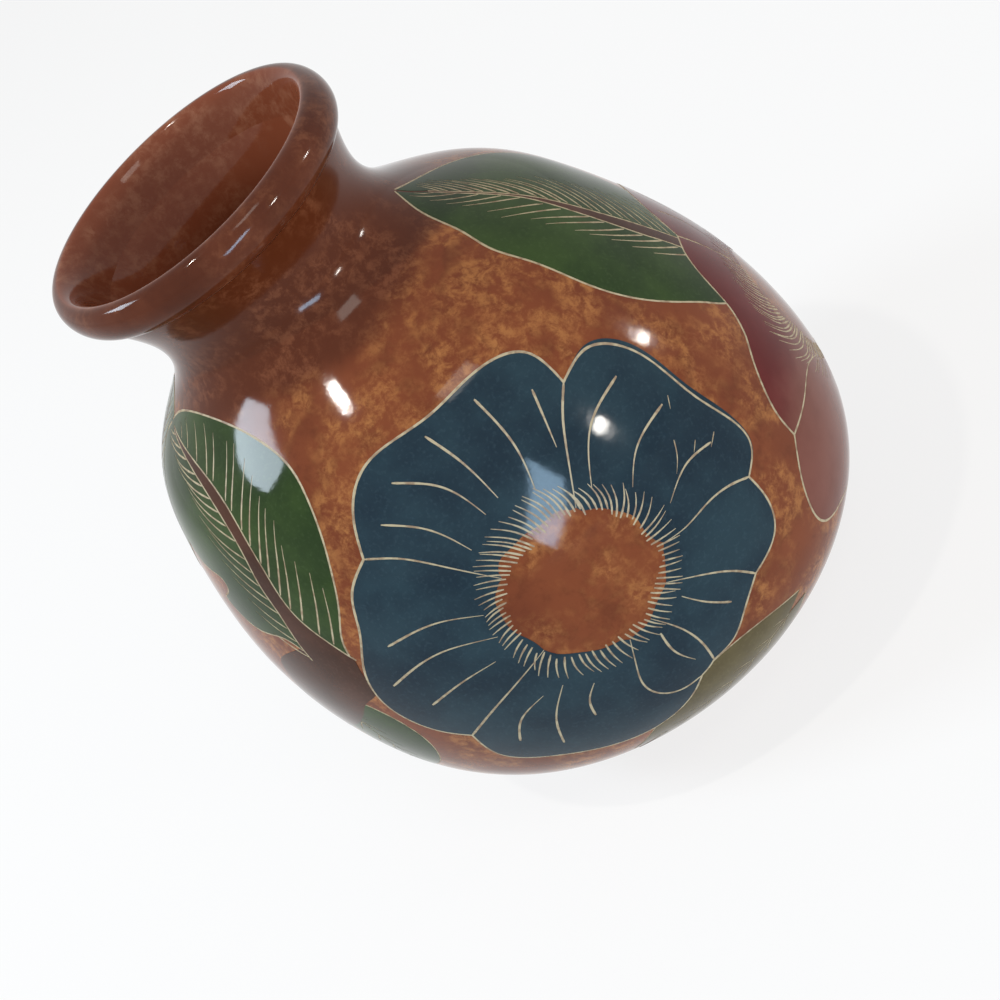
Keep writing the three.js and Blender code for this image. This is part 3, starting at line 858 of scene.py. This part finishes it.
SIDE_RIMS = [
    {"contour": [(103, 46), (113, 47.5), (128, 46), (141, 44.5), (152, 47)]},
    {"contour": [(152, 47), (160, 52), (168, 56.5), (176, 59.8), (184, 61)], "joined": True},
    {"contour": [(184, 61), (188, 67.5), (192.5, 73.3), (196.5, 76.5), (200.5, 78), (204.5, 77.3), (208, 75),
                 (212, 71.3), (217, 67), (226, 62.5), (246, 59), (262, 58), (270, 53)]},
    {"contour": [(270, 53), (282, 59), (302, 61), (322, 59), (335, 52)]},
    {"contour": [(335, 52), (348, 59), (366, 61), (384, 58), (395, 52)]},
    {"contour": [(395, 52), (408, 56), (428, 57), (448, 53), (463, 46)]},
]
SIDE_DIVISIONS = [
    [(108, 21), (104, 31), (103, 46)],
    [(150, 24), (151, 34), (152, 47)],
    [(214, 24), (201, 27), (192, 31.5), (188, 37), (186, 47), (184, 61)],
    [(268, 25), (272, 36), (270, 53)],
    [(332, 22), (337, 36), (335, 52)],
    [(392, 21), (397, 35), (395, 52)],
]
SIDE_VEINS = [
    [(238, 53), (241, 44), (239, 33)], [(252, 52), (255, 42), (253, 32)],
    [(284, 53), (286, 43), (284, 31)], [(303, 55), (303, 44), (302, 32)],
    [(321, 53), (319, 43), (320, 31)], [(348, 53), (350, 43), (348, 31)], [(366, 55), (365, 44), (365, 32)],
    [(383, 52), (380, 43), (382, 31)], [(410, 51), (413, 42), (411, 31)], [(429, 52), (429, 42), (428, 31)],
    [(446, 48), (443, 40), (445, 30)],
]
SIDE_COMBED = [
    (0, 5, 20, 30), (100, -10, 20, 30), (150, -22, 20, 32), (190, -30, 17, 35), (240, -12, 20, 31),
    (300, 4, 20, 30), (360, 5, 20, 30),
]
flower("side_flower", (345, 80), SIDE_RIMS, SIDE_DIVISIONS, SIDE_VEINS, [], SIDE_COMBED, RED, "red_slip",
       seed=11)

BACK_SECTORS = [(20, 90), (90, 165), (165, 235), (235, 310), (310, 380)]
BACK_NOTCH = 48
BACK_REACH = 55
BACK_DIP = 1.5
BACK_VEIN = (49, 39, 31)
BACK_COMBED = [(0, 6, 19, 28), (110, 2, 18, 28), (200, 7, 22, 31), (290, -2, 22, 30), (360, 6, 19, 28)]


def back_petals():
    """Rims, divisions and veins of petals that swell evenly between their notches."""
    rims, divisions, veins = [], [], []
    for start, end in BACK_SECTORS:
        places = [start + (end - start) * share for share in (0, 0.2, 0.5, 0.8, 1)]
        distances = (BACK_NOTCH, BACK_REACH, BACK_REACH - BACK_DIP, BACK_REACH, BACK_NOTCH)
        rims.append({"contour": list(zip(places, distances))})
        divisions.append([(start + 2, 21), (start + 4, 32), (start, BACK_NOTCH)])
        for place, bow in ((places[1] + 3, 3), (places[2], 1), (places[3] - 3, -3)):
            veins.append(list(zip((place, place - bow, place), BACK_VEIN)))
    return rims, divisions, veins


flower("back_flower", (110, 92), *back_petals(), [], BACK_COMBED, BLUE, "blue_slip", seed=12)


# Places on the leaves and sprigs are millimetres along their spine and aside of it
LEFT, RIGHT = 1, -1
SIDES = (LEFT, RIGHT)


def leaf_places(points, length, bearing):
    """Places along and aside of a leaf's spine, turned to across and up."""
    points = np.asarray(points, float)
    turn = math.radians(bearing)
    forward, aside = points[:, 0] - length / 2, points[:, 1]
    return np.stack([forward * math.cos(turn) - aside * math.sin(turn),
                     forward * math.sin(turn) + aside * math.cos(turn)], -1)


HATCH_STATIONS = (0, 0.35, 0.7, 1)
HATCH_SPAN = (0.03, 0.97)
PLACE_JITTER = 0.008
ANGLE_JITTER = 2
LENGTH_JITTER = (0.88, 1.08)
GAP_JITTER = (0.6, 1.3)
HATCH_BOW = 0.03
SHORTEST_HATCH = 3
TRIM_STEP = 1.5


def hatch(rib_side, side, rows, field_outline, rng):
    """Slanted lines along one side of a rib, kept inside the leaf.

    Directions and lengths are given at four stations from the root to the tip.
    """
    lines = []
    for t in np.linspace(*HATCH_SPAN, rows["count"]):
        place = int(np.clip(t + rng.uniform(-PLACE_JITTER, PLACE_JITTER), 0, 1) * (len(rib_side) - 1))
        direction = np.interp(t, HATCH_STATIONS, rows["directions"])
        angle = side * math.radians(direction + rng.uniform(-ANGLE_JITTER, ANGLE_JITTER))
        length = np.interp(t, HATCH_STATIONS, rows["lengths"]) * rng.uniform(*LENGTH_JITTER)
        run = np.array([math.cos(angle), math.sin(angle)])
        bow = np.array([-run[1], run[0]]) * side * HATCH_BOW * length
        root = rib_side[place] + run * rows["gap"] * rng.uniform(*GAP_JITTER)
        while length > SHORTEST_HATCH:
            if inside_outline(field_outline, np.array([root + run * (length + TRIM_STEP)]))[0]:
                points = [root, root + run * length / 2 + bow, root + run * length]
                lines.append(smooth_line(points, HATCH_STEP))
                break
            length -= TRIM_STEP
    return lines


LEAF_LENGTH = 78
LEAF_EDGE_WIDTH = LINE_WIDTH * 0.85
RIB_EDGE_WIDTH = LINE_WIDTH * 0.9
LEAF_HATCH_WIDTH = HAIR_WIDTH * 1.1


def halves_of(name, halves, turned, material, slot_name):
    """The slip fields of the two halves of a leaf or a sprig."""
    return [
        field(f"{name}_{word}_half_slip", turned(halves[side]), material, slot_name, f"{name}_{word}_half")
        for word, side in (("left", LEFT), ("right", RIGHT))
    ]


def leaf(name, middle, bearing, shape, seed):
    """Two green halves on either side of a brown rib, each cut with a row of slanted strokes."""
    rng = random.Random(seed)

    def turned(points):
        return leaf_places(points, LEAF_LENGTH, bearing)

    edges = {side: smooth_line(shape["edges"][side]) for side in SIDES}
    ribs = {side: smooth_line(shape["ribs"][side]) for side in SIDES}
    halves = {side: np.concatenate([ribs[side], edges[side][::-1]]) for side in SIDES}
    rib = np.concatenate([ribs[LEFT], ribs[RIGHT][::-1]])
    fields = halves_of(name, halves, turned, GREEN, "green_slip")
    fields.append(field(f"{name}_rib_slip", turned(rib), BROWN, "brown_slip", f"{name}_rib"))
    if "stem" in shape:
        fields.append(field(f"{name}_stem_slip", turned(smooth_line(shape["stem"])), BROWN, "brown_slip"))
    contours = [stroke(turned(edges[side]), LEAF_EDGE_WIDTH, rng, tapered=False) for side in SIDES]
    strokes = [stroke(turned(ribs[side]), RIB_EDGE_WIDTH, rng, tapered=False) for side in SIDES]
    for side in SIDES:
        lines = hatch(ribs[side], side, shape["hatch"][side], halves[side], rng)
        strokes += [stroke(turned(line), LEAF_HATCH_WIDTH, rng) for line in lines]
    motif(name, middle, fields, contours, strokes)


LEFT_LEAF = {
    "ribs": {
        LEFT: [(1, 3), (9, 3), (18, 2), (30, 2), (42, 1), (52, 3.8), (63, 13), (69, 22), (73, 31)],
        RIGHT: [(-1, -14), (8, -9), (18, -4.5), (30, -3.8), (41, -3.8), (53, -1), (63, 7), (70, 19),
                (74, 31)],
    },
    "edges": {
        LEFT: [(5, 3.5), (9, 7), (11, 17), (16, 27), (21, 30), (26, 23), (29, 22), (32, 31), (40, 39),
               (52, 43), (66, 43), (74, 34)],
        RIGHT: [(1, -13), (5, -14), (15, -20), (30, -27), (42, -30), (56, -28), (69, -18), (78, -5),
                (82, 12), (79, 26), (75, 33)],
    },
    "hatch": {
        LEFT: {"count": 17, "directions": (42, 37, 74, 94), "lengths": (13, 20, 19, 11), "gap": 0.7},
        RIGHT: {"count": 18, "directions": (29, 31, 6, -12), "lengths": (19, 25, 15, 8), "gap": 1},
    },
    "stem": [(10, 0), (6, -7), (1, -13.5), (-6, -12), (-14, -10.5), (-18, -3), (-24, 5), (-31, 16),
             (-38, 30), (-43, 44), (-34, 41), (-22, 35), (-10, 28), (-2, 23), (3, 14), (6, 3.4)],
}
leaf("left_leaf", (210.4, 152), 93, LEFT_LEAF, seed=21)

RIGHT_LEAF = {
    "ribs": {
        LEFT: [(-10, 2), (0, 3), (10, 5), (22, 6), (33, 5.8), (46, 2.2), (58, -1), (70, -3.6)],
        RIGHT: [(-12, -4), (-2, -2), (9, 0), (21, 2), (33, 3), (46, 1), (58, -2), (70, -4.4)],
    },
    "edges": {
        LEFT: [(-22, 12), (-18, 18), (-10, 23), (-3, 27), (8, 32), (19, 34), (30, 33), (40, 30), (51, 25),
               (61, 16), (73, 6), (79, -2)],
        RIGHT: [(-12, -10), (2, -22), (16, -30), (32, -34), (48, -32), (62, -23), (73, -11), (79, -3)],
    },
    "hatch": {
        LEFT: {"count": 14, "directions": (34, 29, 8, 4), "lengths": (18, 18, 16, 12), "gap": 1.5},
        RIGHT: {"count": 25, "directions": (42, 35, 38, 30), "lengths": (19, 20, 20, 12), "gap": 1},
    },
}
leaf("right_leaf", (336, 161.5), 90, RIGHT_LEAF, seed=22)


def mirrored(points):
    """The same outline on both sides of a spine."""
    return {LEFT: points, RIGHT: [(along, -aside) for along, aside in points]}


EVEN_ROWS = {"count": 17, "directions": (34, 34, 30, 24), "lengths": (15, 21, 17, 9), "gap": 1}
EVEN_LEAF = {
    "ribs": mirrored([(-14, 3), (18, 2.4), (48, 1.4), (77, 0.5)]),
    "edges": mirrored([(-2, 3), (8, 15.95), (22, 25.52), (38, 29), (54, 24.36), (68, 13.05), (79, 1)]),
    "hatch": {LEFT: EVEN_ROWS, RIGHT: EVEN_ROWS},
}
leaf("back_right_leaf", (58, 156), 90, EVEN_LEAF, seed=23)
leaf("back_left_leaf", (160.8, 156), 88, EVEN_LEAF, seed=24)


SPRIG_LENGTH = 52
SPRIG_BOW = 0.8
SPRIG_LINE_WIDTH = LINE_WIDTH * 0.7
SPRIG_HATCH_WIDTH = HAIR_WIDTH * 0.9
SPRIG_ROWS = {"count": 7, "directions": (40, 38, 34, 26), "lengths": (5, 8, 7, 4), "gap": 0.8}


def sprig(name, middle, bearing, edges, material, slot_name, seed):
    """A small leaf with a cut spine and a few short strokes."""
    rng = random.Random(seed)

    def turned(points):
        return leaf_places(points, SPRIG_LENGTH, bearing)

    sides = {side: smooth_line(edges[side]) for side in SIDES}
    spine = smooth_line([(0, 0), (SPRIG_LENGTH * 0.5, SPRIG_BOW), (SPRIG_LENGTH, 0)])
    halves = {side: np.concatenate([spine, sides[side][::-1]]) for side in SIDES}
    contours = [stroke(turned(sides[side]), SPRIG_LINE_WIDTH, rng) for side in SIDES]
    strokes = [stroke(turned(spine), SPRIG_LINE_WIDTH, rng)]
    for side in SIDES:
        lines = hatch(spine, side, SPRIG_ROWS, halves[side], rng)
        strokes += [stroke(turned(line), SPRIG_HATCH_WIDTH, rng) for line in lines]
    motif(name, middle, halves_of(name, halves, turned, material, slot_name), contours, strokes)


BACK_SIDES = mirrored([(0, 0.3), (13, 7.5), (26, 10), (40, 7), (52, 0.6)])
OLIVE_SIDES = {
    LEFT: [(-8, 3), (4, 12), (18, 17), (34, 19), (50, 15), (62, 5)],
    RIGHT: [(-8, -3), (4, -11), (20, -17), (38, -16), (52, -8), (62, 0)],
}
LEFT_SIDES = {
    LEFT: [(0, 1), (8, 14), (22, 20), (38, 15), (52, 0.6)],
    RIGHT: [(0, 1), (10, -8), (24, -11), (40, -7), (52, 0.6)],
}
sprig("left_sprig", (204.5, 78), 262, LEFT_SIDES, GREEN, "green_slip", seed=31)
sprig("front_sprig", (266, 36), 186, OLIVE_SIDES, OLIVE, "olive_slip", seed=32)
sprig("back_right_sprig", (50, 70), 95, BACK_SIDES, OLIVE, "olive_slip", seed=33)
sprig("back_left_sprig", (166, 66), 85, BACK_SIDES, GREEN, "green_slip", seed=34)


# Floor, background, light and camera


def white_when_seen(tree, share, plain, white, surface):
    """Camera, glossy and see-through rays find a share of white; other rays find the plain surface."""
    link = tree.links.new
    rays = tree.nodes.new("ShaderNodeLightPath")
    seen = rays.outputs["Is Camera Ray"]
    for kind in ("Is Glossy Ray", "Is Transmission Ray"):
        either = tree.nodes.new("ShaderNodeMath")
        either.operation = "MAXIMUM"
        link(seen, either.inputs[0])
        link(rays.outputs[kind], either.inputs[1])
        seen = either.outputs[0]
    part = tree.nodes.new("ShaderNodeMath")
    part.operation = "MULTIPLY"
    part.inputs[1].default_value = share
    link(seen, part.inputs[0])
    mix = tree.nodes.new("ShaderNodeMixShader")
    link(part.outputs[0], mix.inputs["Fac"])
    link(plain, mix.inputs[1])
    link(white, mix.inputs[2])
    link(mix.outputs["Shader"], surface)


# In metres. The floor lies a little below the foot, so that the two don't share a face
FLOOR_SIZE = 60
FLOOR_LEVEL = -0.0002
FLOOR_WHITE_SHARE = 0.8


def floor():
    """A pale floor. What is left of it in view is the soft shadow under the vase."""
    bpy.ops.mesh.primitive_plane_add(size=FLOOR_SIZE, location=(0, 0, FLOOR_LEVEL))
    plane = bpy.context.object
    plane.name = "floor"
    material = bpy.data.materials.new("pale_floor")
    material.use_nodes = True
    tree = material.node_tree
    shader = tree.nodes["Principled BSDF"]
    shader.inputs["Base Color"].default_value = (0.86, 0.86, 0.86, 1)
    shader.inputs["Roughness"].default_value = 0.9
    glow = tree.nodes.new("ShaderNodeEmission")
    glow.inputs["Color"].default_value = (1, 1, 1, 1)
    surface = tree.nodes["Material Output"].inputs["Surface"]
    white_when_seen(tree, FLOOR_WHITE_SHARE, shader.outputs["BSDF"], glow.outputs["Emission"], surface)
    plane.data.materials.append(material)


def sky():
    """A white room that lights the vase softly."""
    world = bpy.data.worlds.new("studio")
    world.use_nodes = True
    tree = world.node_tree
    plain = tree.nodes["Background"]
    plain.inputs["Color"].default_value = (1, 0.98, 0.96, 1)
    plain.inputs["Strength"].default_value = 0.33
    white = tree.nodes.new("ShaderNodeBackground")
    white.inputs["Color"].default_value = (1, 1, 1, 1)
    white.inputs["Strength"].default_value = 1
    surface = tree.nodes["World Output"].inputs["Surface"]
    white_when_seen(tree, 1, plain.outputs["Background"], white.outputs["Background"], surface)
    bpy.context.scene.world = world


LAMP_AIM = Vector((0, 0, 130)) * MM
WARM_WHITE = (1, 0.95, 0.88)
DAYLIGHT = (0.75, 0.88, 1)
BLUE_DAYLIGHT = (0.5, 0.75, 1)


def lamp(name, azimuth, elevation, distance, size, watts, color=WARM_WHITE, roll=0, shape="RECTANGLE"):
    """A soft lamp that faces the vase. Angles are in degrees, and distance and size in millimetres."""
    light = bpy.data.lights.new(name, "AREA")
    light.shape = shape
    light.size, light.size_y = size[0] * MM, size[1] * MM
    light.energy = watts
    light.color = color
    body = add_object(name, light)
    turn, rise = math.radians(azimuth), math.radians(elevation)
    away = Vector((math.cos(rise) * math.cos(turn), math.cos(rise) * math.sin(turn), math.sin(rise)))
    body.location = LAMP_AIM + away * distance * MM
    rolled = away.to_track_quat("Z", "Y") @ Quaternion((0, 0, 1), math.radians(roll))
    body.rotation_euler = rolled.to_euler()


floor()
sky()
lamp("high_key", -151.9, 69.2, distance=1700, size=(100, 40), watts=7, roll=42, shape="ELLIPSE")
lamp("window", -93.3, 4.3, distance=1650, size=(610, 190), watts=10, color=BLUE_DAYLIGHT, roll=27)
lamp("spot_left", -60.3, 7, distance=1570, size=(165, 72), watts=3.8, shape="ELLIPSE")
lamp("spot_right", -22.1, 4, distance=1560, size=(162, 49), watts=3, roll=-12.6, shape="ELLIPSE")
lamp("window_behind", 162, 42, distance=1600, size=(460, 350), watts=14, color=DAYLIGHT)
lamp("soft_front", -75, 50, distance=1700, size=(460, 340), watts=3.4)


# The place of the camera in millimetres, and its directions, fitted to the photo
CAMERA_PLACE = (-17.5, -468.7, 406.4)
CAMERA_RIGHT = (0.704, -0.403, -0.585)
CAMERA_UP = (0.711, 0.399, 0.579)
CAMERA_BACK = (0, -0.823, 0.568)
SENSOR_WIDTH = 36
FOCAL_LENGTH = 64.8
NEAREST_SEEN = 0.01


def camera():
    """The camera, where the photo was taken from."""
    lens = bpy.data.cameras.new("camera")
    lens.sensor_width = SENSOR_WIDTH
    lens.lens = FOCAL_LENGTH
    lens.clip_start = NEAREST_SEEN
    body = add_object("camera", lens)
    directions = Matrix((CAMERA_RIGHT, CAMERA_UP, CAMERA_BACK)).transposed()
    pose = directions.to_quaternion().to_matrix().to_4x4()
    pose.translation = Vector(CAMERA_PLACE) * MM
    body.matrix_world = pose
    bpy.context.scene.camera = body


camera()
bpy.context.scene.view_settings.view_transform = "Standard"
